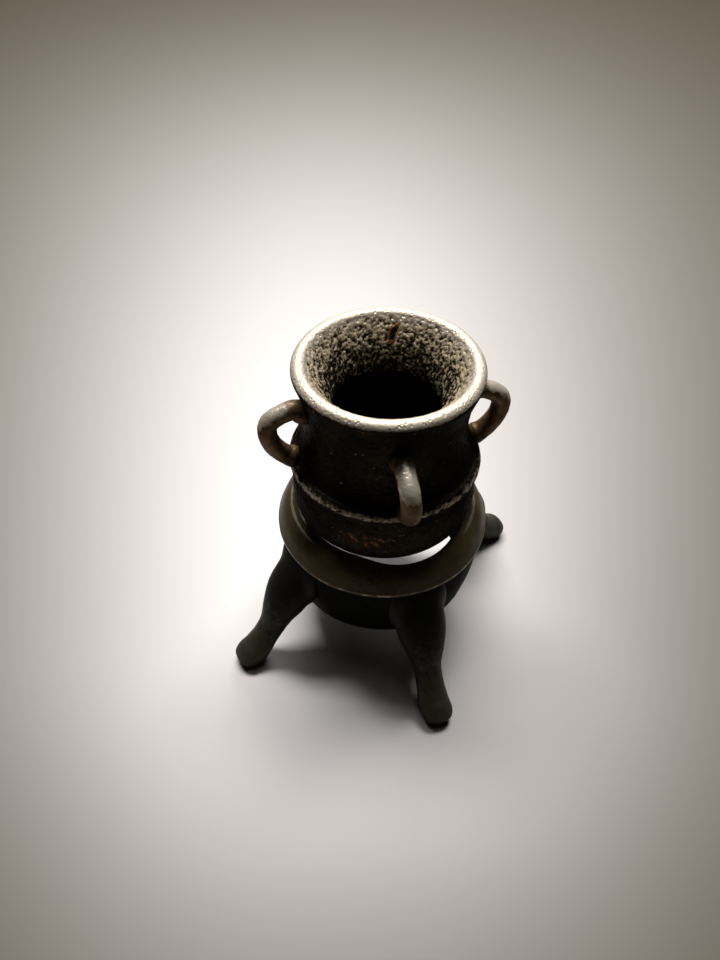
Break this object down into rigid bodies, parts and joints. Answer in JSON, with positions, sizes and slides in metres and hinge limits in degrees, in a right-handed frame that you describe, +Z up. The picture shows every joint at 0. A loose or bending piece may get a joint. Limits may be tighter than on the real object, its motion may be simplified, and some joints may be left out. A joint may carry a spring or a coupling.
{
  "type": "burner pot on a legged stand",
  "caption": "Small cast burner pot with a flared mouth and loop handles, seated loose in the sloping collar of a stand with a bowl apron and cabriole legs.",
  "frame": {"origin": "on the floor, on the stand's axis, midway between opposite feet", "axes": "+Z up along the stand's axis, -Y to the front, where the picture was taken from"},
  "size_m": [0.0524, 0.0588, 0.0587],
  "materials": {
    "pot_bronze": "rough cast, dark patina, worn lip",
    "handle_bronze": "dark patina rubbed bright on the outside",
    "stand_bronze": "smooth olive-brown patina",
    "leg_bronze": "smooth olive-brown patina, worn feet"
  },
  "bodies": {
    "stand": {"collar_ring": "stand_bronze", "apron_ring": "stand_bronze", "leg_left": "leg_bronze", "leg_front": "leg_bronze", "leg_right": "leg_bronze", "leg_back": "leg_bronze"},
    "pot": {"pot_body": "pot_bronze", "handle_left": "handle_bronze", "handle_front": "handle_bronze", "handle_right": "handle_bronze", "handle_back": "handle_bronze"}
  },
  "joints": [
    {"name": "pot_lift", "type": "slide", "parent": "stand", "child": "pot", "axis": [0, 0, 1], "range_m": [0, 0.02]}
  ]
}
